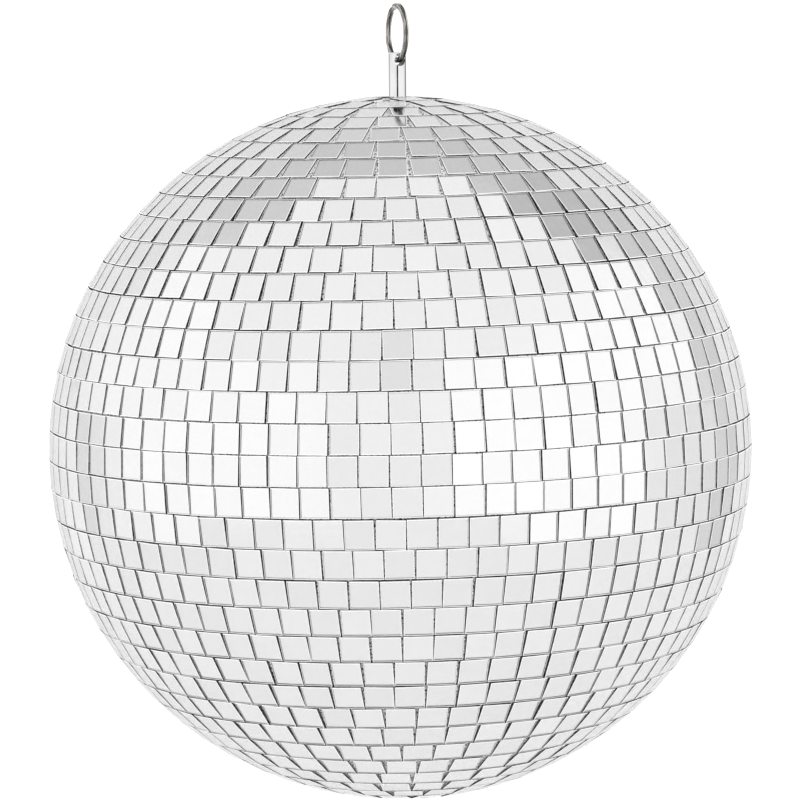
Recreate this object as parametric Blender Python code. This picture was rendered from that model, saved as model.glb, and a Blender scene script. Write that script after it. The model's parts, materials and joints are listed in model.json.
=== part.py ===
"""Mirror ball, 250 mm across, hung from a split ring through its stem.

Metres, +Z up. The origin is where a hook bears on the split ring: the top inside of the ring,
on the ball's vertical axis. The ring lies in the YZ plane, and its lowest stretch of wire passes
along Y through the cross-hole in the stem, so the ball swings about that wire.

Rows of mirror tiles cover a moulded core of two plastic shells. The upper shell has a boss that
carries the stem, which a washer, a spring washer and a nut clamp from inside.
"""

import math

import bmesh
import bpy
from mathutils import Quaternion, Vector

# Clearance between faces that touch on the real object.
GAP = 0.0003

# Mirror tiles
BALL_RADIUS = 0.125
TILE_SIDE = 0.010
TILE_THICKNESS = 0.0015
ROWS_PER_HALF = 18
ROW_PITCH = math.radians(4.83)
ROW_FACETS = 30
POLE_TILE_SIDE = 0.0092
# The tiler's rows aren't quite square to the stem: their axis leans this far, towards this heading.
TILE_AXIS_LEAN = math.radians(0.86)
TILE_AXIS_HEADING = math.radians(161)

# Split ring: flat wire wound twice round, with a short step from one turn to the other.
RING_OUTER_RADIUS = 0.0105
RING_WIRE_WIDTH = 0.0017
RING_WIRE_THICKNESS = 0.00075
RING_TURN_CLEARANCE = 0.00005
RING_EDGE_ROUND = 0.0002
RING_STEP_HEADING = math.radians(62)
RING_STEP_HALF_ANGLE = math.radians(9)
RING_END_CLEARANCE = math.radians(2)
RING_STATIONS_PER_TURN = 40
RING_STEP_STATIONS = 6

# Stem
STEM_DIAMETER = 0.0064
STEM_ABOVE_BALL = 0.0156
STEM_TOP_ROUND = 0.0005
CROSS_HOLE_DIAMETER = 0.0039
CROSS_HOLE_BELOW_TOP = 0.00285
FLANGE_RADIUS = 0.0075
FLANGE_THICKNESS = 0.0014
SHANK_DIAMETER = 0.006
SHANK_CHAMFER = 0.0006
SHANK_BELOW_NUT = 0.003
TURNED_SEGMENTS = 24

# Core shells
CORE_WALL = 0.0025
CORE_SEGMENTS = 28
CORE_ARC_STEPS = 9
BOSS_RADIUS = 0.016
BOSS_DEPTH = 0.011
SPIGOT_HEIGHT = 0.008
SPIGOT_WALL = 0.002
SPIGOT_CLEARANCE = 0.001

# Fasteners inside the ball, for a 6 mm shank
LOAD_WASHER_RADIUS = 0.0125
LOAD_WASHER_THICKNESS = 0.0015
SPRING_WASHER_RADIUS = 0.0059
SPRING_WASHER_THICKNESS = 0.0016
SPRING_WASHER_OPENING = math.radians(12)
NUT_ACROSS_FLATS = 0.010
NUT_HEIGHT = 0.005
NUT_CORNER_CHAMFER = math.radians(30)
NUT_CHAMFER_SEGMENTS = 48

# Places that follow from the sizes above. Heights are above the ball's centre.
RING_INNER_RADIUS = RING_OUTER_RADIUS - RING_WIRE_WIDTH
RING_WIRE_RADIUS = RING_OUTER_RADIUS - RING_WIRE_WIDTH / 2
RING_CENTRE_Z = -RING_INNER_RADIUS
HINGE_Z = RING_CENTRE_Z - RING_WIRE_RADIUS
STEM_TOP_HEIGHT = BALL_RADIUS + STEM_ABOVE_BALL
HINGE_HEIGHT = STEM_TOP_HEIGHT - CROSS_HOLE_BELOW_TOP
CORE_RADIUS = BALL_RADIUS - TILE_THICKNESS - GAP
FLANGE_TOP_HEIGHT = CORE_RADIUS - GAP
FLANGE_BOTTOM_HEIGHT = FLANGE_TOP_HEIGHT - FLANGE_THICKNESS
FLANGE_SEAT_HEIGHT = FLANGE_BOTTOM_HEIGHT - GAP
BOSS_BOTTOM_HEIGHT = FLANGE_SEAT_HEIGHT - BOSS_DEPTH
BORE_RADIUS = SHANK_DIAMETER / 2 + GAP
LOAD_WASHER_TOP = BOSS_BOTTOM_HEIGHT - GAP
SPRING_WASHER_TOP = LOAD_WASHER_TOP - LOAD_WASHER_THICKNESS - GAP
NUT_TOP = SPRING_WASHER_TOP - SPRING_WASHER_THICKNESS - GAP
SHANK_BOTTOM_HEIGHT = NUT_TOP - NUT_HEIGHT - SHANK_BELOW_NUT

SMOOTH_ANGLE = math.radians(35)
MERGE_DISTANCE = 1e-7
EMPTY_SIZE = 0.02


def clear_scene():
    for leftover in list(bpy.data.objects):
        bpy.data.objects.remove(leftover, do_unlink=True)


def make_material(name, colour, metallic, roughness):
    material = bpy.data.materials.new(name)
    material.use_nodes = True
    shader = material.node_tree.nodes["Principled BSDF"]
    shader.inputs["Base Color"].default_value = (*colour, 1.0)
    shader.inputs["Metallic"].default_value = metallic
    shader.inputs["Roughness"].default_value = roughness
    return material


def add_empty(name, parent=None, location=(0, 0, 0)):
    empty = bpy.data.objects.new(name, None)
    empty.empty_display_size = EMPTY_SIZE
    empty.parent = parent
    empty.location = location
    bpy.context.scene.collection.objects.link(empty)
    return empty


def add_piece(name, bm, material, parent=None, location=(0, 0, 0), smooth=False):
    """Turns a bmesh into a named object with its faces pointing out."""
    bmesh.ops.remove_doubles(bm, verts=bm.verts, dist=MERGE_DISTANCE)
    bmesh.ops.recalc_face_normals(bm, faces=bm.faces)
    mesh = bpy.data.meshes.new(name)
    bm.to_mesh(mesh)
    bm.free()
    mesh.materials.append(material)
    if smooth:
        mesh.shade_smooth()
        mesh.set_sharp_from_angle(angle=SMOOTH_ANGLE)
    piece = bpy.data.objects.new(name, mesh)
    piece.parent = parent
    piece.location = location
    bpy.context.scene.collection.objects.link(piece)
    return piece


def turned(profile, segments):
    """Spins (radius, height) points round Z. A profile that starts and ends on the axis stays
    open there, and any other profile is a closed loop."""
    bm = bmesh.new()
    points = [bm.verts.new((radius, 0, height)) for radius, height in profile]
    edges = [bm.edges.new(pair) for pair in zip(points, points[1:])]
    on_axis = profile[0][0] == 0 and profile[-1][0] == 0
    if not on_axis:
        edges.append(bm.edges.new((points[-1], points[0])))
    bmesh.ops.spin(
        bm,
        geom=points + edges,
        cent=(0, 0, 0),
        axis=(0, 0, 1),
        angle=math.tau,
        steps=segments,
        use_merge=True,
    )
    return bm


def swept(sections):
    """Joins a list of matching point loops into one bar, and caps both ends."""
    bm = bmesh.new()
    loops = [[bm.verts.new(point) for point in section] for section in sections]
    corners = len(loops[0])
    for near, far in zip(loops, loops[1:]):
        for corner in range(corners):
            after = (corner + 1) % corners
            bm.faces.new((near[corner], near[after], far[after], far[corner]))
    bm.faces.new(loops[0])
    bm.faces.new(loops[-1])
    return bm


def add_boolean(piece, cutter, operation="DIFFERENCE"):
    cutter.hide_render = True
    cutter.display_type = "WIRE"
    modifier = piece.modifiers.new(cutter.name, "BOOLEAN")
    modifier.operation = operation
    modifier.solver = "EXACT"
    modifier.object = cutter


def arc(radius, start_height, end_height, steps):
    """Points of a circle about the ball's centre, between two heights."""
    start = math.asin(start_height / radius)
    end = math.asin(end_height / radius)
    angles = [start + (end - start) * step / steps for step in range(steps + 1)]
    return [(radius * math.cos(angle), radius * math.sin(angle)) for angle in angles]


# Tile rows --------------------------------------------------------------------------------------


def row_profile(number, side):
    """The section of a row: a tile's side by its thickness, tangent to the ball at the row's
    middle. side is 1 above the equator and -1 below. Its radii go to the corners between
    facets, so that each facet's middle touches the ball."""
    latitude = (number - 0.5) * ROW_PITCH
    outward = Vector((math.cos(latitude), math.sin(latitude)))
    towards_pole = Vector((-outward.y, outward.x))
    corner_share = math.cos(math.pi / ROW_FACETS)
    profile = []
    for depth, across in ((0, -1), (0, 1), (TILE_THICKNESS, 1), (TILE_THICKNESS, -1)):
        point = outward * (BALL_RADIUS - depth) + towards_pole * (across * TILE_SIDE / 2)
        profile.append((point.x / corner_share, point.y * side))
    return profile


def add_tile_rows(parent, material):
    """Rows are numbered from 01 at the equator to 18 at each pole."""
    for half, side in (("upper", 1), ("lower", -1)):
        for number in range(1, ROWS_PER_HALF + 1):
            bm = turned(row_profile(number, side), ROW_FACETS)
            add_piece(f"tile_row_{half}_{number:02d}", bm, material, parent)


def add_pole_tile(parent, material):
    """The single tile that closes the bottom pole."""
    bm = bmesh.new()
    bmesh.ops.create_cube(bm, size=1)
    bmesh.ops.scale(bm, vec=(POLE_TILE_SIDE, POLE_TILE_SIDE, TILE_THICKNESS), verts=bm.verts)
    middle = (0, 0, -(BALL_RADIUS - TILE_THICKNESS / 2))
    add_piece("tile_bottom_pole", bm, material, parent, middle)


# Core shells ------------------------------------------------------------------------------------


def add_core_shells(parent, material):
    """Two moulded half shells. The lower one's spigot locates inside the upper one's rim."""
    inner = CORE_RADIUS - CORE_WALL
    rim = GAP / 2
    seat_radius = FLANGE_RADIUS + GAP
    seat_edge = math.sqrt(CORE_RADIUS**2 - seat_radius**2)
    boss_edge = math.sqrt(inner**2 - BOSS_RADIUS**2)
    upper = arc(CORE_RADIUS, rim, seat_edge, CORE_ARC_STEPS)
    upper += [
        (seat_radius, FLANGE_SEAT_HEIGHT),
        (BORE_RADIUS, FLANGE_SEAT_HEIGHT),
        (BORE_RADIUS, BOSS_BOTTOM_HEIGHT),
        (BOSS_RADIUS, BOSS_BOTTOM_HEIGHT),
    ]
    upper += arc(inner, boss_edge, rim, CORE_ARC_STEPS)
    bm = turned(upper, CORE_SEGMENTS)
    add_piece("core_shell_upper", bm, material, parent, smooth=True)

    spigot_outer = inner - SPIGOT_CLEARANCE
    spigot_inner = spigot_outer - SPIGOT_WALL
    outside = arc(CORE_RADIUS, -CORE_RADIUS, -rim, CORE_ARC_STEPS)
    inside = arc(inner, -SPIGOT_HEIGHT, -inner, CORE_ARC_STEPS)
    outside[0] = (0, -CORE_RADIUS)
    inside[-1] = (0, -inner)
    lower = outside + [
        (spigot_outer, -rim),
        (spigot_outer, SPIGOT_HEIGHT),
        (spigot_inner, SPIGOT_HEIGHT),
        (spigot_inner, -SPIGOT_HEIGHT),
    ]
    bm = turned(lower + inside, CORE_SEGMENTS)
    add_piece("core_shell_lower", bm, material, parent, smooth=True)


# Stem and its fasteners -------------------------------------------------------------------------


def add_stem(parent, material):
    """One turned piece: a post above the ball, a flange that seats on the core under the tiles,
    and a shank that goes down through the core's boss."""
    post = STEM_DIAMETER / 2
    shank = SHANK_DIAMETER / 2
    round_middle = STEM_TOP_ROUND * (1 - math.cos(math.pi / 4))
    profile = [
        (0, STEM_TOP_HEIGHT),
        (post - STEM_TOP_ROUND, STEM_TOP_HEIGHT),
        (post - round_middle, STEM_TOP_HEIGHT - round_middle),
        (post, STEM_TOP_HEIGHT - STEM_TOP_ROUND),
        (post, FLANGE_TOP_HEIGHT),
        (FLANGE_RADIUS, FLANGE_TOP_HEIGHT),
        (FLANGE_RADIUS, FLANGE_BOTTOM_HEIGHT),
        (shank, FLANGE_BOTTOM_HEIGHT),
        (shank, SHANK_BOTTOM_HEIGHT + SHANK_CHAMFER),
        (shank - SHANK_CHAMFER, SHANK_BOTTOM_HEIGHT),
        (0, SHANK_BOTTOM_HEIGHT),
    ]
    stem = add_piece("hanger_stem", turned(profile, TURNED_SEGMENTS), material, parent, smooth=True)

    drill = bmesh.new()
    bmesh.ops.create_cone(
        drill,
        cap_ends=True,
        segments=TURNED_SEGMENTS,
        radius1=CROSS_HOLE_DIAMETER / 2,
        radius2=CROSS_HOLE_DIAMETER / 2,
        depth=STEM_DIAMETER + 2 * STEM_TOP_ROUND,
    )
    cutter = add_piece("cross_hole", drill, material, parent, (0, 0, HINGE_HEIGHT))
    cutter.rotation_euler = (math.pi / 2, 0, 0)
    add_boolean(stem, cutter)


def add_load_washer(parent, material):
    bottom = LOAD_WASHER_TOP - LOAD_WASHER_THICKNESS
    profile = [
        (BORE_RADIUS, bottom),
        (LOAD_WASHER_RADIUS, bottom),
        (LOAD_WASHER_RADIUS, LOAD_WASHER_TOP),
        (BORE_RADIUS, LOAD_WASHER_TOP),
    ]
    add_piece("load_washer", turned(profile, TURNED_SEGMENTS), material, parent, smooth=True)


def add_spring_washer(parent, material):
    """A flat ring that is cut through at one place."""
    bottom = SPRING_WASHER_TOP - SPRING_WASHER_THICKNESS
    start = SPRING_WASHER_OPENING / 2
    span = math.tau - SPRING_WASHER_OPENING
    sections = []
    for station in range(TURNED_SEGMENTS + 1):
        angle = start + span * station / TURNED_SEGMENTS
        across = Vector((math.cos(angle), math.sin(angle), 0))
        sections.append(
            [
                across * BORE_RADIUS + Vector((0, 0, bottom)),
                across * SPRING_WASHER_RADIUS + Vector((0, 0, bottom)),
                across * SPRING_WASHER_RADIUS + Vector((0, 0, SPRING_WASHER_TOP)),
                across * BORE_RADIUS + Vector((0, 0, SPRING_WASHER_TOP)),
            ]
        )
    add_piece("spring_washer", swept(sections), material, parent, smooth=True)


def add_hex_nut(parent, material):
    """A hexagon, bored through, with its corners chamfered by the cones that it is cut to. The
    outline that it is cut to goes a little over it at both ends."""
    half = NUT_HEIGHT / 2
    middle = (0, 0, NUT_TOP - half)
    flat_radius = NUT_ACROSS_FLATS / 2
    corner_radius = flat_radius / math.cos(math.pi / 6)
    bm = bmesh.new()
    bmesh.ops.create_cone(
        bm, cap_ends=True, segments=6, radius1=corner_radius, radius2=corner_radius, depth=NUT_HEIGHT
    )
    nut = add_piece("hex_nut", bm, material, parent, middle)

    outline_radius = corner_radius + GAP
    drop = (outline_radius - flat_radius) * math.tan(NUT_CORNER_CHAMFER)
    outline = [
        (BORE_RADIUS, -half - GAP),
        (flat_radius, -half - GAP),
        (flat_radius, -half),
        (outline_radius, -half + drop),
        (outline_radius, half - drop),
        (flat_radius, half),
        (flat_radius, half + GAP),
        (BORE_RADIUS, half + GAP),
    ]
    blank = add_piece("nut_outline", turned(outline, NUT_CHAMFER_SEGMENTS), material, parent, middle)
    add_boolean(nut, blank, "INTERSECT")


# Split ring -------------------------------------------------------------------------------------


def ring_wire_section():
    """The wire's section as (radial, axial) offsets: a rectangle with its corners cut."""
    wide = RING_WIRE_WIDTH / 2
    thick = RING_WIRE_THICKNESS / 2
    cut = RING_EDGE_ROUND
    return [
        (-wide, -thick + cut),
        (-wide + cut, -thick),
        (wide - cut, -thick),
        (wide, -thick + cut),
        (wide, thick - cut),
        (wide - cut, thick),
        (-wide + cut, thick),
        (-wide, thick - cut),
    ]


def ring_offset(turned_by):
    """How far the wire's middle lies along X after turning this far: one turn on each side of the
    ring's plane, with a smooth step between them halfway along."""
    from_step = (turned_by - math.tau) / RING_STEP_HALF_ANGLE
    share = min(max((from_step + 1) / 2, 0), 1)
    smooth = share * share * (3 - 2 * share)
    spread = RING_WIRE_THICKNESS + RING_TURN_CLEARANCE
    return spread * (smooth - 0.5)


def spaced(start, end, count):
    """Evenly spaced stops from start, without end itself."""
    return [start + (end - start) * step / count for step in range(count)]


def add_split_ring(material):
    """Two turns of wire in the YZ plane. Both ends butt against the step, with a small clearance."""
    outline = ring_wire_section()
    first = RING_STEP_HALF_ANGLE + RING_END_CLEARANCE
    last = 2 * math.tau - first
    step_start = math.tau - RING_STEP_HALF_ANGLE
    step_end = math.tau + RING_STEP_HALF_ANGLE
    stops = spaced(first, step_start, RING_STATIONS_PER_TURN)
    stops += spaced(step_start, step_end, RING_STEP_STATIONS)
    stops += spaced(step_end, last, RING_STATIONS_PER_TURN)
    stops.append(last)
    sections = []
    for turned_by in stops:
        heading = RING_STEP_HEADING + turned_by
        outward = Vector((0, math.cos(heading), math.sin(heading)))
        along_axis = Vector((ring_offset(turned_by), 0, 0))
        middle = outward * RING_WIRE_RADIUS + along_axis
        sections.append([middle + outward * radial + Vector((axial, 0, 0)) for radial, axial in outline])
    add_piece("split_ring", swept(sections), material, location=(0, 0, RING_CENTRE_Z), smooth=True)


def build():
    clear_scene()
    mirror = make_material("mirror_tile", (0.9, 0.9, 0.9), 1.0, 0.03)
    chrome = make_material("chrome", (0.82, 0.82, 0.83), 1.0, 0.08)
    steel = make_material("ring_steel", (0.55, 0.53, 0.5), 1.0, 0.25)
    zinc = make_material("zinc_steel", (0.62, 0.63, 0.65), 1.0, 0.35)
    plastic = make_material("core_plastic", (0.12, 0.12, 0.12), 0.0, 0.6)

    add_split_ring(steel)
    swing = add_empty("ball_swing_axis", location=(0, 0, HINGE_Z))
    centre = add_empty("ball_centre", swing, (0, 0, -HINGE_HEIGHT))
    add_stem(centre, chrome)
    add_load_washer(centre, zinc)
    add_spring_washer(centre, zinc)
    add_hex_nut(centre, zinc)
    add_core_shells(centre, plastic)

    tile_axis = add_empty("tile_axis", centre)
    lean_axis = (-math.sin(TILE_AXIS_HEADING), math.cos(TILE_AXIS_HEADING), 0)
    tile_axis.rotation_mode = "QUATERNION"
    tile_axis.rotation_quaternion = Quaternion(lean_axis, TILE_AXIS_LEAN)
    add_tile_rows(tile_axis, mirror)
    add_pole_tile(tile_axis, mirror)


build()
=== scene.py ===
"""Looks of the hanging mirror ball: its single tiles, adhesive, stem and split ring, the materials,
a white studio and the camera.

Metres, +Z up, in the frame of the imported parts: the origin is where a hook bears on the split ring.
"""

import json
import math
import random

import bmesh
import bpy
from mathutils import Matrix, Quaternion, Vector, noise


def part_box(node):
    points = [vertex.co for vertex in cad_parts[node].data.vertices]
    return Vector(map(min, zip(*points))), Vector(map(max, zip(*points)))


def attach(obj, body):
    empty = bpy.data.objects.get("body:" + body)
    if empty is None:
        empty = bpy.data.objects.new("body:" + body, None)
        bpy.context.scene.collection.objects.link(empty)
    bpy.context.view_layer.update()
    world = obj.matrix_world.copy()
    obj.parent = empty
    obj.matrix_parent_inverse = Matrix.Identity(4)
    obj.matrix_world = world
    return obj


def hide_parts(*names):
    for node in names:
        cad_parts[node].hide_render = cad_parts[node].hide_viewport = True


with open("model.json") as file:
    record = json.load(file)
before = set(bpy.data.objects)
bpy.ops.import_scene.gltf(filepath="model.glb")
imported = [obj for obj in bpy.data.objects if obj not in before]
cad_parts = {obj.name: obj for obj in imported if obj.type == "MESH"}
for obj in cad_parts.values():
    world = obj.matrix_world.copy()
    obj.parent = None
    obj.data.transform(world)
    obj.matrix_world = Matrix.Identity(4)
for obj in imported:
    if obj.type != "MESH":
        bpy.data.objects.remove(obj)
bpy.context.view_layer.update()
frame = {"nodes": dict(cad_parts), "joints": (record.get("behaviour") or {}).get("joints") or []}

# The ball, from the frame
TILE_THICKNESS = 0.0015
CLEARANCE = 0.0003
core_low, core_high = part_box("core_shell_lower")
CORE_RADIUS = (core_high.x - core_low.x) / 2
BALL_RADIUS = CORE_RADIUS + CLEARANCE + TILE_THICKNESS
BALL_CENTRE = Vector((0, 0, core_low.z + CORE_RADIUS))
HINGE = Vector(frame["joints"][0]["pos_m"])

# Tiles. The rows' axis leans from the stem towards this heading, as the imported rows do.
ROWS_PER_HALF = 18
ROW_PITCH = math.radians(4.83)
TILE_AXIS_LEAN = math.radians(0.86)
TILE_AXIS_HEADING = math.radians(161)
TILE_ACROSS = 0.00984
TILE_ALONG = 0.0101
TILE_PITCH_AT_POLEWARD_EDGE = 0.0103
POLE_TILE_SIDE = 0.0092
ARRIS_ACROSS = 0.0002
ARRIS_ALONG = 0.0003
ARRIS_DROP = 0.0001
GLASS_INDEX = 1.5
SILVER_DEPTH = 0.00055
SILVER_INSET_ACROSS = 0.0002
SILVER_INSET_ALONG = 0.0001
EDGE_SKIN = 0.00002
TILE_TONES = (0.735, 0.78)
POLE_TILE_TONE = 0.76

# From this row to the pole the joints are open. Below this depth a tile's sides are then painted white
# in the upper half, as painted light from above, and dark and hatched in the lower half, as painted
# shade; in the other rows they are dark.
FIRST_OPEN_ROW = 11
WALL_DARK_DEPTH = 0.0007

# How unevenly the tiles are laid by hand
LAYING_SEED = 24
SIDE_SPREAD = 0.00006
SHIFT_ALONG_ROW = 0.00018
SHIFT_ACROSS_ROW = 0.00009
TURN_IN_PLANE = math.radians(0.6)
TILT = math.radians(0.6)
ROW_WAVE = 0.0001
ROW_WAVE_COUNTS = (2, 5)

# Adhesive between the tiles
ADHESIVE_RADIUS = BALL_RADIUS - 0.00125
ADHESIVE_ROUND_STEPS = 160
ADHESIVE_HEIGHT_STEPS = 80
ADHESIVE_LUMPS = 0.00015
ADHESIVE_LUMP_SCALE = 90

# Stem
stem_low, stem_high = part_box("hanger_stem")
STEM_RADIUS = 0.0032
STEM_TOP_ROUND = 0.0005
FLANGE_RADIUS = stem_high.x
FLANGE_THICKNESS = 0.0014
FLANGE_TOP = BALL_CENTRE.z + CORE_RADIUS - CLEARANCE
FLANGE_ROUND = 0.0003
SHANK_RADIUS = 0.003
SHANK_CHAMFER = 0.0006
THREAD_PITCH = 0.001
THREAD_DEPTH = 0.00055
CROSS_HOLE_RADIUS = 0.00195
CROSS_HOLE_CHAMFER = 0.00022
CROSS_HOLE_SEGMENTS = 64
CROSS_HOLE_EDGE_ANGLE = math.radians(60)
STEM_SEGMENTS = 96
STEM_ROUND_STEPS = 9
HOLDING_LOOP = 0.0001
STEM_SHARP_ANGLE = math.radians(12)

# Split ring: flat wire wound twice round, with a short step from one turn to the other
ring_low, ring_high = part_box("split_ring")
RING_OUTER_RADIUS = (ring_high.z - ring_low.z) / 2
RING_CENTRE = Vector((0, 0, (ring_high.z + ring_low.z) / 2))
RING_WIRE_WIDTH = 0.0017
RING_WIRE_THICKNESS = 0.00075
RING_TURN_CLEARANCE = 0.00005
RING_EDGE_ROUND = 0.0003
RING_EDGE_ROUND_AXIAL = RING_EDGE_ROUND * 0.8
RING_STEP_HEADING = math.radians(62)
RING_STEP_HALF_ANGLE = math.radians(9)
RING_END_CLEARANCE = math.radians(2)
RING_STATIONS_PER_TURN = 150
RING_CORNER_STEPS = 3
RING_STREAKS = ((9, 14), (14, 26))

# Studio. Directions are given as seen from the ball, with azimuth from straight away from the
# camera, positive to its right.
CAMERA_AZIMUTH = math.radians(-19)
CAMERA_ELEVATION = math.radians(6.08)
CAMERA_DISTANCE = BALL_RADIUS * 12.227
CAMERA_LENS = 192.5
CAMERA_AIM_UP = math.radians(0.63)
CAMERA_ROLL = math.radians(0.45)
CAMERA_SENSOR = 36
CAMERA_CLIP_START = 0.05
FLOOR_BELOW_BALL = 0.62
FLOOR_RADIUS = 1.7
FLOOR_SEGMENTS = 96
FLOOR_GLOW = 0.045
AWAY = Vector((-math.sin(CAMERA_AZIMUTH), math.cos(CAMERA_AZIMUTH), 0))
RIGHT = Vector((math.cos(CAMERA_AZIMUTH), math.sin(CAMERA_AZIMUTH), 0))
UP = Vector((0, 0, 1))

# The room's light, in degrees. A glow of 1 is plain white.
BACKGROUND_GLOW = 1.1
WALL_GLOW = 1.12
CEILING_GLOW = 1.06
CEILING_ELEVATIONS = (60, 90)

# Round patches: azimuth, elevation, full within, none beyond
WALL_BEHIND_CAMERA = (180, 5, 14, 30)
WALL_BEHIND_CAMERA_GLOW = 1.10
PHOTOGRAPHER = (182, 34, 5, 13)
PHOTOGRAPHER_GLOW = 0.98
OPENING = (1, 25, 48, 52)
LEFT_SHOULDER = (-54, 53, 9, 15)
LEFT_SHOULDER_GLOW = 0.79
RIGHT_SHOULDER = (57, 49, 10, 13)
RIGHT_SHOULDER_GLOW = 0.65

# Tall panels: azimuth, half width, lowest and highest full elevation, soft edge
SIDE_WALL = (72, 15, -40, 2, 8)
SIDE_WALL_GLOW = 1.0
SOFT_LIGHTS = (
    ((-118, 30, -14, 22, 11), 1.24),
    ((-84, 16, 12, 36, 11), 1.22),
    ((130, 30, -15, 28, 11), 1.28),
    ((86, 20, 16, 36, 11), 1.26),
)
LEFT_RIM = (-58, 4, -16, 0, 5)
LEFT_RIM_GLOW = 0.92
RIGHT_RIM = (49, 7, -18, 40, 6)

# Glows that change with elevation: lowest and highest elevation, glow at each
RIGHT_RIM_FADE = (10, 46, 0.83, 0.72)
BACKDROP_FADE = (-5, 40, 1.07, 0.97)
BACKDROP_TOP_ELEVATIONS = (37, 56)
BACKDROP_TOP_GLOW = 0.74

# Dark cards: name, azimuth, half width, glow
FLAGS = (
    ("flag_behind_camera", 180, 9, 0.02),
    ("flag_right", 58, 9, 0.12),
    ("flag_left", -50, 8, 0.3),
)
FLAG_NEAR_DISTANCE = 1.33
FLAG_NEAR_HEIGHT = -0.0729
FLAG_FAR_DISTANCE = 2.2
FLAG_FAR_HEIGHT = -0.0284
FLAG_STEP = 3

# Shading and merging
SHARP_ANGLE = math.radians(32)
MERGE_DISTANCE = 1e-7


# Meshes -------------------------------------------------------------------------------------------


def link_mesh(name, mesh):
    piece = bpy.data.objects.new(name, mesh)
    bpy.context.scene.collection.objects.link(piece)
    return piece


def finish_piece(piece, body, slot, *replaced):
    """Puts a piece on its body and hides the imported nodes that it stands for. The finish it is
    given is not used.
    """
    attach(piece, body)
    if replaced:
        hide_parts(*replaced)


def turned(profile, segments):
    """Spins (radius, height) points round Z."""
    bm = bmesh.new()
    points = [bm.verts.new((radius, 0, height)) for radius, height in profile]
    edges = [bm.edges.new(pair) for pair in zip(points, points[1:])]
    bmesh.ops.spin(
        bm,
        geom=points + edges,
        cent=(0, 0, 0),
        axis=(0, 0, 1),
        angle=math.tau,
        steps=segments,
        use_merge=True,
    )
    bmesh.ops.remove_doubles(bm, verts=bm.verts, dist=MERGE_DISTANCE)
    bmesh.ops.recalc_face_normals(bm, faces=bm.faces)
    return bm


def mesh_from(bm, name):
    mesh = bpy.data.meshes.new(name)
    bm.to_mesh(mesh)
    bm.free()
    return mesh


def shade_round(mesh, sharp_angle=SHARP_ANGLE):
    mesh.shade_smooth()
    mesh.set_sharp_from_angle(angle=sharp_angle)


def apply_modifiers(piece):
    """Replaces the piece's mesh with its evaluated one and drops its modifiers."""
    evaluated = piece.evaluated_get(bpy.context.evaluated_depsgraph_get())
    mesh = bpy.data.meshes.new_from_object(evaluated)
    piece.modifiers.clear()
    piece.data = mesh


# Node helpers -------------------------------------------------------------------------------------


def new_node(tree, kind, **settings):
    node = tree.nodes.new(kind)
    for name, value in settings.items():
        setattr(node, name, value)
    return node


def feed(tree, socket, value):
    """Links a socket into another, or sets a plain value on it."""
    if isinstance(value, bpy.types.NodeSocket):
        tree.links.new(value, socket)
    else:
        socket.default_value = value


def math_node(tree, operation, first, second=0.0):
    node = new_node(tree, "ShaderNodeMath", operation=operation)
    feed(tree, node.inputs[0], first)
    feed(tree, node.inputs[1], second)
    return node.outputs[0]


def ramp(tree, value, low, high, at_low=0.0, at_high=1.0):
    """Goes smoothly from at_low where value is low to at_high where it is high."""
    node = new_node(tree, "ShaderNodeMapRange", interpolation_type="SMOOTHSTEP")
    feed(tree, node.inputs["Value"], value)
    node.inputs["From Min"].default_value = low
    node.inputs["From Max"].default_value = high
    node.inputs["To Min"].default_value = at_low
    node.inputs["To Max"].default_value = at_high
    return node.outputs["Result"]


def noise_node(tree, scale, detail=2.0, roughness=0.5, stretch=(1, 1, 1), where=None):
    """Noise in the object's own coordinates, so that it moves with the piece, or in others."""
    if where is None:
        where = new_node(tree, "ShaderNodeTexCoord").outputs["Object"]
    mapping = new_node(tree, "ShaderNodeMapping")
    mapping.inputs["Scale"].default_value = stretch
    tree.links.new(where, mapping.inputs["Vector"])
    pattern = new_node(tree, "ShaderNodeTexNoise")
    tree.links.new(mapping.outputs["Vector"], pattern.inputs["Vector"])
    pattern.inputs["Scale"].default_value = scale
    pattern.inputs["Detail"].default_value = detail
    pattern.inputs["Roughness"].default_value = roughness
    return pattern.outputs["Fac"]


def grey(tone):
    return (tone, tone, tone)


def colour_between(tree, shader, factor, first, second):
    """Gives the shader a base colour between two: the first where the factor is nought."""
    node = new_node(tree, "ShaderNodeMix", data_type="RGBA")
    feed(tree, node.inputs["Factor"], factor)
    node.inputs["A"].default_value = (*first, 1)
    node.inputs["B"].default_value = (*second, 1)
    tree.links.new(node.outputs["Result"], shader.inputs["Base Color"])


def new_material(name, metallic, roughness, colour=grey(0.8)):
    material = bpy.data.materials.new(name)
    material.use_nodes = True
    shader = material.node_tree.nodes["Principled BSDF"]
    shader.inputs["Base Color"].default_value = (*colour, 1)
    shader.inputs["Metallic"].default_value = metallic
    shader.inputs["Roughness"].default_value = roughness
    return material, material.node_tree, shader


def add_bump(tree, shader, height, distance):
    bump = new_node(tree, "ShaderNodeBump")
    bump.inputs["Strength"].default_value = 1.0
    bump.inputs["Distance"].default_value = distance
    feed(tree, bump.inputs["Height"], height)
    tree.links.new(bump.outputs["Normal"], shader.inputs["Normal"])


# Materials ----------------------------------------------------------------------------------------


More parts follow.
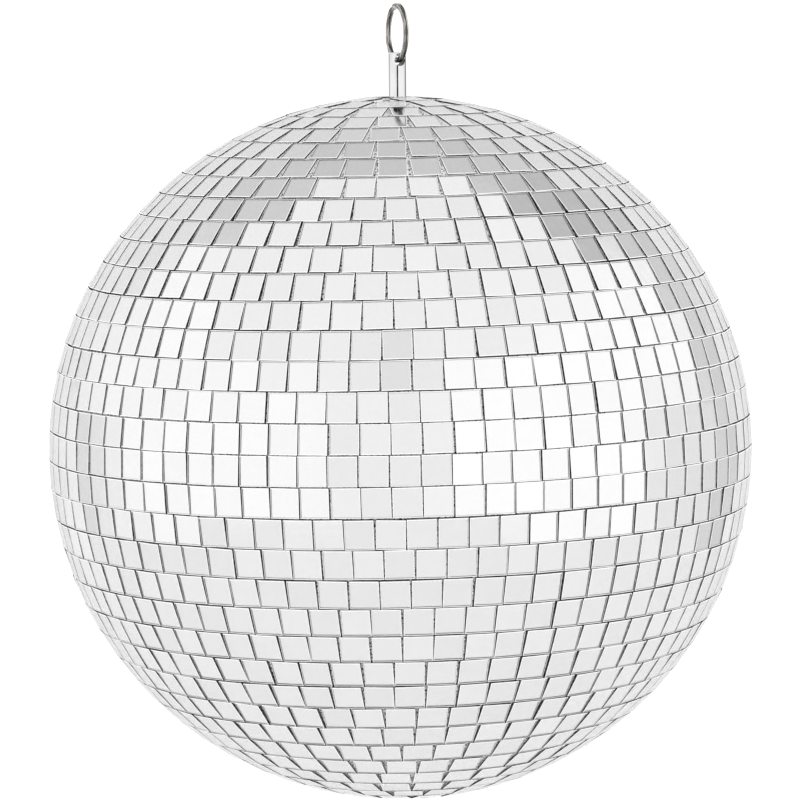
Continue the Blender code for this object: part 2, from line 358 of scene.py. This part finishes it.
def mirror_material():
    """The silvering. Each tile has its own slight tone, with faint smears and dust."""
    material, tree, shader = new_material("mirror_face", metallic=1.0, roughness=0.03)
    tone = new_node(tree, "ShaderNodeAttribute", attribute_name="tile_tone").outputs["Fac"]
    smears = noise_node(tree, scale=240, detail=4, stretch=(1, 1, 2.5))
    dust = ramp(tree, noise_node(tree, scale=2600), low=0.55, high=0.8)
    tone = math_node(tree, "ADD", tone, math_node(tree, "MULTIPLY", smears, 0.03))
    tone = math_node(tree, "SUBTRACT", tone, math_node(tree, "MULTIPLY", dust, 0.05))
    colour = new_node(tree, "ShaderNodeCombineColor")
    for channel in ("Red", "Green", "Blue"):
        tree.links.new(tone, colour.inputs[channel])
    tree.links.new(colour.outputs[0], shader.inputs["Base Color"])
    feed(tree, shader.inputs["Roughness"], ramp(tree, smears, 0.3, 0.7, at_low=0.02, at_high=0.07))
    add_bump(tree, shader, noise_node(tree, scale=170, detail=1), distance=0.00001)
    return material


def glass_material():
    """The tile's clear glass. Only its face has this: the silvering and the sides lie behind it."""
    material, tree, shader = new_material("tile_glass", metallic=0.0, roughness=0.0, colour=grey(1.0))
    shader.inputs["IOR"].default_value = GLASS_INDEX
    shader.inputs["Transmission Weight"].default_value = 1.0
    return material


def arris_material():
    """The arris round the tile's face: ground, white and matt, with small chips."""
    material, tree, shader = new_material("ground_edge", metallic=0.0, roughness=0.45)
    chips = ramp(tree, noise_node(tree, scale=1500, detail=3), low=0.62, high=0.75)
    colour_between(tree, shader, chips, grey(0.97), (0.62, 0.63, 0.63))
    add_bump(tree, shader, noise_node(tree, scale=2200), distance=0.00003)
    return material


def ground_side_and_painted_light_material():
    """A tile's ground sides, towards the pole and the equator: white and matt. It is also the
    foot of the sides in the open rows of the upper half, as painted light.
    """
    material, tree, shader = new_material("ground_side_and_painted_light", metallic=0.0, roughness=0.6)
    chips = ramp(tree, noise_node(tree, scale=1500, detail=3), low=0.6, high=0.75)
    colour_between(tree, shader, chips, grey(0.98), grey(0.6))
    return material


def snapped_side_and_painted_shade_material():
    """A tile's snapped sides, between neighbours in a row: dark with adhesive, and hatched. It is
    also the foot of the sides in the open rows of the lower half, as painted shade.
    """
    material, tree, shader = new_material("cut_side_and_painted_shade", metallic=0.0, roughness=0.7)
    hatching = ramp(tree, noise_node(tree, scale=2000, detail=3, roughness=0.65), low=0.47, high=0.52)
    colour_between(tree, shader, hatching, grey(0.01), grey(0.9))
    return material


def backing_material():
    """The dark paint behind the silvering and the adhesive in the joints."""
    material, tree, shader = new_material("tile_backing", metallic=0.0, roughness=0.7)
    patches = ramp(tree, noise_node(tree, scale=1600, detail=3), low=0.5, high=0.6)
    colour_between(tree, shader, patches, grey(0.006), grey(0.25))
    return material


def adhesive_material():
    """Dark adhesive with silvery flecks in it."""
    material, tree, shader = new_material("adhesive", metallic=0.0, roughness=0.75)
    flecks = ramp(tree, noise_node(tree, scale=1400, detail=3, roughness=0.6), low=0.43, high=0.49)
    colour_between(tree, shader, flecks, grey(0.006), grey(0.97))
    add_bump(tree, shader, noise_node(tree, scale=900, detail=3), distance=0.0002)
    return material


def chrome_material():
    """Chrome plate with a faint haze that runs along the stem."""
    material, tree, shader = new_material("stem_chrome", metallic=1.0, roughness=0.07)
    haze = noise_node(tree, scale=500, detail=4, stretch=(1, 1, 0.25))
    colour_between(tree, shader, haze, (0.60, 0.60, 0.61), grey(0.79))
    feed(tree, shader.inputs["Roughness"], ramp(tree, haze, 0.3, 0.75, at_low=0.02, at_high=0.07))
    add_bump(tree, shader, noise_node(tree, scale=1400, stretch=(1, 1, 0.2)), distance=0.000003)
    return material


def hole_painted_shade_material():
    """The wall of the stem's cross-hole, rougher than the chrome and painted near black as painted
    shade in the hole, with faint streaks.
    """
    material, tree, shader = new_material("hole_wall_painted_shade", metallic=1.0, roughness=0.4)
    marks = noise_node(tree, scale=900, detail=3, stretch=(1, 0.2, 1))
    colour_between(tree, shader, marks, (0.015, 0.015, 0.016), grey(0.10))
    return material


def ring_steel_material():
    """Drawn steel wire, warm grey, with fine lines that run along the wire."""
    material, tree, shader = new_material("ring_wire", metallic=1.0, roughness=0.3)
    wire = new_node(tree, "ShaderNodeUVMap", uv_map="wire").outputs["UV"]
    coarse, fine = [
        noise_node(tree, scale=1, stretch=(along, around, 1), where=wire) for along, around in RING_STREAKS
    ]
    streaks = math_node(tree, "MULTIPLY", math_node(tree, "ADD", coarse, fine), 0.5)
    contrast = ramp(tree, streaks, low=0.43, high=0.63)
    colour_between(tree, shader, contrast, (0.04, 0.036, 0.032), (0.70, 0.67, 0.64))
    feed(tree, shader.inputs["Roughness"], ramp(tree, streaks, 0.3, 0.7, at_low=0.32, at_high=0.14))
    add_bump(tree, shader, streaks, distance=0.00002)
    return material


def zinc_material():
    """Zinc plate with a fine spangle."""
    material, tree, shader = new_material("zinc_plate", metallic=1.0, roughness=0.35)
    spangle = noise_node(tree, scale=700, detail=4)
    colour_between(tree, shader, spangle, (0.45, 0.46, 0.50), (0.78, 0.78, 0.76))
    feed(tree, shader.inputs["Roughness"], ramp(tree, spangle, 0.3, 0.7, at_low=0.28, at_high=0.5))
    add_bump(tree, shader, noise_node(tree, scale=1600), distance=0.00001)
    return material


def core_plastic_material():
    """Dark moulded plastic with a fine moulded grain."""
    material, tree, shader = new_material("moulded_core", metallic=0.0, roughness=0.6)
    cloud = noise_node(tree, scale=30, detail=3)
    colour_between(tree, shader, cloud, (0.035, 0.035, 0.037), (0.06, 0.06, 0.062))
    feed(tree, shader.inputs["Roughness"], ramp(tree, cloud, 0.3, 0.7, at_low=0.5, at_high=0.7))
    add_bump(tree, shader, noise_node(tree, scale=900), distance=0.00005)
    return material


# Tiles --------------------------------------------------------------------------------------------

GLASS, SILVER, ARRIS, GROUND_SIDE_AND_PAINTED_LIGHT, SNAPPED_SIDE_AND_PAINTED_SHADE, BACK = range(6)


class TileMesh:
    """Collects the tiles of one row into one mesh."""

    def __init__(self):
        self.points = []
        self.faces = []
        self.looks = []
        self.tones = []

    def add_tile(self, place, across, along, tone, wall_foot_painted_light_and_shade):
        """A glass block across by along in size, with its silvering inside. place turns (across,
        along, outward) into a world point, with along towards the pole and outward nought at the
        glass's face. The last argument is the look of its sides near the core, which in the open rows is
        painted light in the upper half and painted shade in the lower half. The levels' corners run
        from the back up the sides to the face, then down just inside the sides to the silvering."""
        base = len(self.points)
        x, y = across / 2, along / 2
        levels = (
            (0, 0, -TILE_THICKNESS),
            (0, 0, -WALL_DARK_DEPTH),
            (0, 0, -ARRIS_DROP),
            (ARRIS_ACROSS, ARRIS_ALONG, 0),
            (EDGE_SKIN, EDGE_SKIN, -ARRIS_DROP),
            (EDGE_SKIN, EDGE_SKIN, -SILVER_DEPTH),
            (SILVER_INSET_ACROSS, SILVER_INSET_ALONG, -SILVER_DEPTH),
        )
        for inset_across, inset_along, height in levels:
            wide, high = x - inset_across, y - inset_along
            for u, v in ((-wide, -high), (wide, -high), (wide, high), (-wide, high)):
                self.points.append(place(u, v, height))
        faces = [((3, 2, 1, 0), BACK), ((12, 13, 14, 15), GLASS), ((24, 25, 26, 27), SILVER)]
        for corner in range(4):
            after = (corner + 1) % 4
            side = SNAPPED_SIDE_AND_PAINTED_SHADE if corner % 2 else GROUND_SIDE_AND_PAINTED_LIGHT
            for level, look in enumerate((wall_foot_painted_light_and_shade, BACK, ARRIS, None, side, BACK)):
                if look is not None:
                    low, high = level * 4, level * 4 + 4
                    faces.append(((corner + low, after + low, after + high, corner + high), look))
        for corners, look in faces:
            self.faces.append([base + corner for corner in corners])
            self.looks.append(look)
            self.tones.append(tone)

    def build(self, name, looks):
        mesh = bpy.data.meshes.new(name)
        mesh.from_pydata(self.points, [], self.faces)
        for material in looks:
            mesh.materials.append(material)
        mesh.polygons.foreach_set("material_index", self.looks)
        tone = mesh.attributes.new("tile_tone", "FLOAT", "FACE")
        tone.data.foreach_set("value", self.tones)
        mesh.update()
        return link_mesh(name, mesh)


def tile_axis_turn():
    lean_axis = Vector((-math.sin(TILE_AXIS_HEADING), math.cos(TILE_AXIS_HEADING), 0))
    return Quaternion(lean_axis, TILE_AXIS_LEAN)


def outward_at(longitude, latitude):
    return Vector((
        math.cos(latitude) * math.cos(longitude),
        math.cos(latitude) * math.sin(longitude),
        math.sin(latitude),
    ))


def jittered_place(dice, longitude, latitude, side):
    """A tile's frame: tangent to the ball at its middle, then shifted, turned and tilted a little,
    as when it is laid by hand."""
    outward = outward_at(longitude, latitude * side)
    east = Vector((-math.sin(longitude), math.cos(longitude), 0))
    across = east * side
    along = outward.cross(across)
    wobble = (
        Quaternion(outward, dice.gauss(0, TURN_IN_PLANE))
        @ Quaternion(across, dice.gauss(0, TILT))
        @ Quaternion(along, dice.gauss(0, TILT))
    )
    lean = tile_axis_turn()
    shift = across * dice.uniform(-SHIFT_ALONG_ROW, SHIFT_ALONG_ROW)
    shift += along * dice.uniform(-SHIFT_ACROSS_ROW, SHIFT_ACROSS_ROW)
    across, along, normal = wobble @ across, wobble @ along, wobble @ outward
    middle = outward * BALL_RADIUS + shift

    def place(u, v, height):
        return BALL_CENTRE + lean @ (middle + across * u + along * v + normal * height)

    return place


def tiles_in_row(number):
    """As many as fit along the row's poleward edge."""
    edge_length = math.tau * BALL_RADIUS * math.cos(number * ROW_PITCH)
    return round(edge_length / TILE_PITCH_AT_POLEWARD_EDGE)


def add_tile_rows(looks):
    dice = random.Random(LAYING_SEED)
    for half, side in (("upper", 1), ("lower", -1)):
        for number in range(1, ROWS_PER_HALF + 1):
            count = tiles_in_row(number)
            latitude = (number - 0.5) * ROW_PITCH
            phase = dice.uniform(0, math.tau)
            wave_count = dice.randint(*ROW_WAVE_COUNTS)
            wave_phase = dice.uniform(0, math.tau)
            wall_foot_painted_light_and_shade = BACK
            # In the open rows the sides' foot is painted: white in the upper half as painted light from
            # above, dark and hatched in the lower half as painted shade.
            if number >= FIRST_OPEN_ROW:
                wall_foot_painted_light_and_shade = GROUND_SIDE_AND_PAINTED_LIGHT if half == "upper" else SNAPPED_SIDE_AND_PAINTED_SHADE
            row = TileMesh()
            for tile in range(count):
                longitude = phase + math.tau * tile / count
                wave = ROW_WAVE / BALL_RADIUS * math.sin(wave_count * longitude + wave_phase)
                place = jittered_place(dice, longitude, latitude + wave, side)
                across = TILE_ACROSS + dice.uniform(-SIDE_SPREAD, SIDE_SPREAD)
                along = TILE_ALONG + dice.uniform(-SIDE_SPREAD, SIDE_SPREAD)
                row.add_tile(place, across, along, dice.uniform(*TILE_TONES), wall_foot_painted_light_and_shade)
            piece = row.build(f"tiles_{half}_{number:02d}", looks)
            finish_piece(piece, "ball", "mirror_tile", f"tile_row_{half}_{number:02d}")


def add_pole_tile(looks):
    dice = random.Random(LAYING_SEED)
    place = jittered_place(dice, 0, math.pi / 2, -1)
    tile = TileMesh()
    tile.add_tile(place, POLE_TILE_SIDE, POLE_TILE_SIDE, POLE_TILE_TONE, BACK)
    finish_piece(tile.build("tile_pole", looks), "ball", "mirror_tile", "tile_bottom_pole")


def add_adhesive(material):
    """The layer that the tiles are bedded in, as it shows in the gaps. It stops at the flange."""
    top_angle = math.acos((FLANGE_RADIUS + CLEARANCE) / ADHESIVE_RADIUS)
    bm = bmesh.new()
    rings = []
    for step in range(ADHESIVE_HEIGHT_STEPS):
        latitude = top_angle + (-math.pi / 2 - top_angle) * step / ADHESIVE_HEIGHT_STEPS
        ring = []
        for turn in range(ADHESIVE_ROUND_STEPS):
            outward = outward_at(math.tau * turn / ADHESIVE_ROUND_STEPS, latitude)
            lump = noise.noise(outward * ADHESIVE_LUMP_SCALE) * ADHESIVE_LUMPS
            ring.append(bm.verts.new(BALL_CENTRE + outward * (ADHESIVE_RADIUS + lump)))
        rings.append(ring)
    for upper, lower in zip(rings, rings[1:]):
        for turn in range(ADHESIVE_ROUND_STEPS):
            after = (turn + 1) % ADHESIVE_ROUND_STEPS
            bm.faces.new((upper[turn], lower[turn], lower[after], upper[after]))
    bm.faces.new(list(reversed(rings[-1])))
    mesh = mesh_from(bm, "adhesive_layer")
    mesh.materials.append(material)
    shade_round(mesh)
    finish_piece(link_mesh("adhesive_layer", mesh), "ball", "core_plastic")


# Stem ---------------------------------------------------------------------------------------------


def outer_round(edge_radius, edge_height, radius):
    """Points of a quarter circle that rounds the top outer edge at that radius and height."""
    points = []
    for step in range(STEM_ROUND_STEPS + 1):
        angle = math.pi / 2 - math.pi / 2 * step / STEM_ROUND_STEPS
        across = edge_radius - radius + radius * math.cos(angle)
        points.append((across, edge_height - radius + radius * math.sin(angle)))
    return points


def stem_profile():
    top = stem_high.z
    flange_bottom = FLANGE_TOP - FLANGE_THICKNESS
    hole_zone = CROSS_HOLE_RADIUS + CROSS_HOLE_CHAMFER + HOLDING_LOOP
    profile = [(0, top)]
    profile += outer_round(STEM_RADIUS, top, STEM_TOP_ROUND)
    profile.append((STEM_RADIUS, top - STEM_TOP_ROUND - HOLDING_LOOP))
    profile.append((STEM_RADIUS, HINGE.z + hole_zone))
    profile.append((STEM_RADIUS, HINGE.z - hole_zone))
    profile.append((STEM_RADIUS, FLANGE_TOP))
    profile += outer_round(FLANGE_RADIUS, FLANGE_TOP, FLANGE_ROUND)
    profile.append((FLANGE_RADIUS, flange_bottom))
    profile.append((SHANK_RADIUS, flange_bottom))
    height = flange_bottom - THREAD_PITCH
    while height > stem_low.z + SHANK_CHAMFER + THREAD_PITCH:
        profile.append((SHANK_RADIUS, height))
        profile.append((SHANK_RADIUS - THREAD_DEPTH, height - THREAD_PITCH / 2))
        height -= THREAD_PITCH
    profile.append((SHANK_RADIUS, height))
    profile.append((SHANK_RADIUS, stem_low.z + SHANK_CHAMFER))
    profile.append((SHANK_RADIUS - SHANK_CHAMFER, stem_low.z))
    profile.append((0, stem_low.z))
    return profile


def add_stem(material, hole_shade_material):
    mesh = mesh_from(turned(stem_profile(), STEM_SEGMENTS), "stem")
    mesh.materials.append(material)
    stem = link_mesh("stem", mesh)
    reach = STEM_RADIUS * 2
    drill = bmesh.new()
    bmesh.ops.create_cone(
        drill,
        cap_ends=True,
        segments=CROSS_HOLE_SEGMENTS,
        radius1=CROSS_HOLE_RADIUS,
        radius2=CROSS_HOLE_RADIUS,
        depth=reach * 2,
    )
    cutter = link_mesh("cross_hole", mesh_from(drill, "cross_hole"))
    cutter.data.materials.append(hole_shade_material)
    cutter.location = HINGE
    cutter.rotation_euler = (math.pi / 2, 0, 0)
    bpy.context.view_layer.update()
    hole = stem.modifiers.new("cross_hole", "BOOLEAN")
    hole.object = cutter
    hole.material_mode = "TRANSFER"
    bevel = stem.modifiers.new("hole_edge", "BEVEL")
    bevel.width = CROSS_HOLE_CHAMFER
    bevel.segments = 2
    bevel.limit_method = "ANGLE"
    bevel.angle_limit = CROSS_HOLE_EDGE_ANGLE
    apply_modifiers(stem)
    bpy.data.objects.remove(cutter, do_unlink=True)
    shade_round(stem.data, STEM_SHARP_ANGLE)
    finish_piece(stem, "ball", "chrome", "hanger_stem")


# Split ring ---------------------------------------------------------------------------------------


def wire_section():
    """The wire's outline as (radial, axial) offsets: a rectangle with rounded corners."""
    wide = RING_WIRE_WIDTH / 2 - RING_EDGE_ROUND
    thick = RING_WIRE_THICKNESS / 2 - RING_EDGE_ROUND_AXIAL
    outline = []
    for quarter, (sign_radial, sign_axial) in enumerate(((1, 1), (-1, 1), (-1, -1), (1, -1))):
        for step in range(RING_CORNER_STEPS + 1):
            angle = math.pi / 2 * (quarter + step / RING_CORNER_STEPS)
            radial = sign_radial * wide + RING_EDGE_ROUND * math.cos(angle)
            axial = sign_axial * thick + RING_EDGE_ROUND_AXIAL * math.sin(angle)
            outline.append((radial, axial))
    return outline


def turn_offset(turned_by):
    """How far the wire's middle lies along X: one turn on each side of the ring's plane, with a
    smooth step between them halfway along."""
    share = min(max(((turned_by - math.tau) / RING_STEP_HALF_ANGLE + 1) / 2, 0), 1)
    smooth = share * share * (3 - 2 * share)
    return (RING_WIRE_THICKNESS + RING_TURN_CLEARANCE) * (smooth - 0.5)


def add_split_ring(material):
    outline = wire_section()
    first = RING_STEP_HALF_ANGLE + RING_END_CLEARANCE
    last = 2 * math.tau - first
    stations = 2 * RING_STATIONS_PER_TURN
    middle_radius = RING_OUTER_RADIUS - RING_WIRE_WIDTH / 2
    bm = bmesh.new()
    uv_layer = bm.loops.layers.uv.new("wire")
    loops = []
    for station in range(stations + 1):
        turned_by = first + (last - first) * station / stations
        heading = RING_STEP_HEADING + turned_by
        outward = Vector((0, math.cos(heading), math.sin(heading)))
        middle = RING_CENTRE + outward * middle_radius + Vector((turn_offset(turned_by), 0, 0))
        loops.append([
            bm.verts.new(middle + outward * radial + Vector((axial, 0, 0))) for radial, axial in outline
        ])
    corners = len(outline)
    for station, (near, far) in enumerate(zip(loops, loops[1:])):
        for corner in range(corners):
            after = (corner + 1) % corners
            face = bm.faces.new((near[corner], near[after], far[after], far[corner]))
            places = (
                (station, corner),
                (station, corner + 1),
                (station + 1, corner + 1),
                (station + 1, corner),
            )
            for loop, (along, around) in zip(face.loops, places):
                loop[uv_layer].uv = (along / RING_STATIONS_PER_TURN, around / corners)
    bm.faces.new(loops[0])
    bm.faces.new(loops[-1])
    bmesh.ops.recalc_face_normals(bm, faces=bm.faces)
    mesh = mesh_from(bm, "ring")
    mesh.materials.append(material)
    shade_round(mesh)
    finish_piece(link_mesh("ring", mesh), "ring", "ring_steel", "split_ring")


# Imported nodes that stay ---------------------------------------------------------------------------


def dress_packed_nodes(plastic, zinc):
    for name, material in (
        ("core_shell_upper", plastic),
        ("core_shell_lower", plastic),
        ("load_washer", zinc),
        ("spring_washer", zinc),
        ("hex_nut", zinc),
    ):
        for place in frame["nodes"][name].material_slots:
            place.material = material


# Studio -------------------------------------------------------------------------------------------


def direction(azimuth, elevation):
    """A direction from the ball, in degrees: azimuth from straight away from the camera."""
    a, e = math.radians(azimuth), math.radians(elevation)
    return (AWAY * math.cos(a) + RIGHT * math.sin(a)) * math.cos(e) + UP * math.sin(e)


def dot_with(tree, where, fixed):
    dot = new_node(tree, "ShaderNodeVectorMath", operation="DOT_PRODUCT")
    tree.links.new(where, dot.inputs[0])
    dot.inputs[1].default_value = fixed
    return dot.outputs["Value"]


def in_degrees(tree, radians):
    return math_node(tree, "MULTIPLY", radians, math.degrees(1))


def patch_mask(tree, where, middle_azimuth, middle_elevation, full_within, none_beyond):
    """1 inside a round patch, 0 outside it, with a soft edge."""
    dot = dot_with(tree, where, direction(middle_azimuth, middle_elevation))
    off = in_degrees(tree, math_node(tree, "ARCCOSINE", dot))
    return ramp(tree, off, full_within, none_beyond, at_low=1, at_high=0)


def panel_mask(tree, azimuth, elevation, middle, half_width, low, high, soft):
    """1 inside a tall panel, 0 outside it, with a soft edge."""
    off = math_node(tree, "ABSOLUTE", math_node(tree, "SUBTRACT", azimuth, middle))
    wide = ramp(tree, off, half_width, half_width + soft, at_low=1, at_high=0)
    above = ramp(tree, elevation, low - soft, low)
    below = ramp(tree, elevation, high, high + soft, at_low=1, at_high=0)
    return math_node(tree, "MULTIPLY", wide, math_node(tree, "MULTIPLY", above, below))


def blend_towards(tree, value, target, mask):
    """value, or target where the mask is 1."""
    change = math_node(tree, "SUBTRACT", target, value)
    return math_node(tree, "ADD", value, math_node(tree, "MULTIPLY", change, mask))


def add_world():
    """A white studio: two tall soft lights beside the camera, and a white backdrop behind the ball
    in a round opening with a grey rim."""
    world = bpy.data.worlds.new("studio")
    bpy.context.scene.world = world
    world.use_nodes = True
    tree = world.node_tree
    background = tree.nodes["Background"]
    where = new_node(tree, "ShaderNodeTexCoord").outputs["Generated"]
    away, right, up = [dot_with(tree, where, axis) for axis in (AWAY, RIGHT, UP)]
    azimuth = in_degrees(tree, math_node(tree, "ARCTAN2", right, away))
    elevation = in_degrees(tree, math_node(tree, "ARCSINE", up))

    def patch(light, glow, place):
        return blend_towards(tree, light, glow, patch_mask(tree, where, *place))

    def panel(light, glow, place):
        return blend_towards(tree, light, glow, panel_mask(tree, azimuth, elevation, *place))

    light = ramp(tree, elevation, *CEILING_ELEVATIONS, WALL_GLOW, CEILING_GLOW)
    light = patch(light, WALL_BEHIND_CAMERA_GLOW, WALL_BEHIND_CAMERA)
    light = panel(light, SIDE_WALL_GLOW, SIDE_WALL)
    for place, glow in SOFT_LIGHTS:
        light = panel(light, glow, place)
    light = patch(light, PHOTOGRAPHER_GLOW, PHOTOGRAPHER)

    lower_backdrop = ramp(tree, elevation, *BACKDROP_FADE)
    near_top = ramp(tree, elevation, *BACKDROP_TOP_ELEVATIONS)
    light = patch(light, blend_towards(tree, lower_backdrop, BACKDROP_TOP_GLOW, near_top), OPENING)
    light = patch(light, LEFT_SHOULDER_GLOW, LEFT_SHOULDER)
    light = panel(light, ramp(tree, elevation, *RIGHT_RIM_FADE), RIGHT_RIM)
    light = patch(light, RIGHT_SHOULDER_GLOW, RIGHT_SHOULDER)
    light = panel(light, LEFT_RIM_GLOW, LEFT_RIM)

    seen = new_node(tree, "ShaderNodeLightPath").outputs["Is Camera Ray"]
    light = blend_towards(tree, light, BACKGROUND_GLOW, seen)
    tree.links.new(light, background.inputs["Strength"])
    background.inputs["Color"].default_value = (1, 1, 1, 1)


def add_flag(name, azimuth, half_width, glow):
    """A photographer's dark card, which the chrome stem shows as a dark line. The camera doesn't
    see it, and it slopes so that most tiles see it edge on."""
    material = bpy.data.materials.new(name)
    material.use_nodes = True
    tree = material.node_tree
    tree.nodes.remove(tree.nodes["Principled BSDF"])
    emission = new_node(tree, "ShaderNodeEmission")
    emission.inputs["Strength"].default_value = glow
    tree.links.new(emission.outputs[0], tree.nodes["Material Output"].inputs["Surface"])
    steps = max(1, round(half_width / FLAG_STEP))
    bm = bmesh.new()
    columns = []
    for step in range(-steps, steps + 1):
        outward = direction(azimuth + half_width * step / steps, 0)
        near = outward * FLAG_NEAR_DISTANCE + UP * FLAG_NEAR_HEIGHT
        far = outward * FLAG_FAR_DISTANCE + UP * FLAG_FAR_HEIGHT
        columns.append([bm.verts.new(near), bm.verts.new(far)])
    for left, right in zip(columns, columns[1:]):
        bm.faces.new((left[0], right[0], right[1], left[1]))
    mesh = mesh_from(bm, name)
    mesh.materials.append(material)
    flag = link_mesh(name, mesh)
    flag.visible_camera = False
    flag.visible_diffuse = False
    flag.visible_shadow = False


def add_floor():
    material, tree, shader = new_material("studio_floor", metallic=0.0, roughness=0.9)
    colour_between(tree, shader, noise_node(tree, scale=3), grey(0.965), grey(0.985))
    shader.inputs["Specular IOR Level"].default_value = 0.0
    shader.inputs["Emission Color"].default_value = (1, 1, 1, 1)
    shader.inputs["Emission Strength"].default_value = FLOOR_GLOW
    bm = bmesh.new()
    bmesh.ops.create_circle(bm, cap_ends=True, segments=FLOOR_SEGMENTS, radius=FLOOR_RADIUS)
    mesh = mesh_from(bm, "floor")
    mesh.materials.append(material)
    floor = link_mesh("floor", mesh)
    floor.location = BALL_CENTRE - UP * FLOOR_BELOW_BALL


def add_camera():
    data = bpy.data.cameras.new("camera")
    data.lens = CAMERA_LENS
    data.sensor_width = CAMERA_SENSOR
    data.clip_start = CAMERA_CLIP_START
    camera = bpy.data.objects.new("camera", data)
    bpy.context.scene.collection.objects.link(camera)
    back = -direction(0, 0) * math.cos(CAMERA_ELEVATION) + UP * math.sin(CAMERA_ELEVATION)
    camera.location = BALL_CENTRE + back * CAMERA_DISTANCE
    look = Quaternion(RIGHT, CAMERA_AIM_UP) @ -back
    up = RIGHT.cross(look)
    right = Quaternion(look, CAMERA_ROLL) @ RIGHT
    up = Quaternion(look, CAMERA_ROLL) @ up
    camera.rotation_euler = Matrix((right, up, -look)).transposed().to_euler()
    bpy.context.scene.camera = camera


def build():
    tile_looks = (
        glass_material(),
        mirror_material(),
        arris_material(),
        ground_side_and_painted_light_material(),
        snapped_side_and_painted_shade_material(),
        backing_material(),
    )
    add_tile_rows(tile_looks)
    add_pole_tile(tile_looks)
    add_adhesive(adhesive_material())
    add_stem(chrome_material(), hole_painted_shade_material())
    add_split_ring(ring_steel_material())
    dress_packed_nodes(core_plastic_material(), zinc_material())
    add_world()
    for name, azimuth, half_width, glow in FLAGS:
        add_flag(name, azimuth, half_width, glow)
    add_floor()
    add_camera()
    bpy.context.scene.view_settings.view_transform = "Standard"


build()
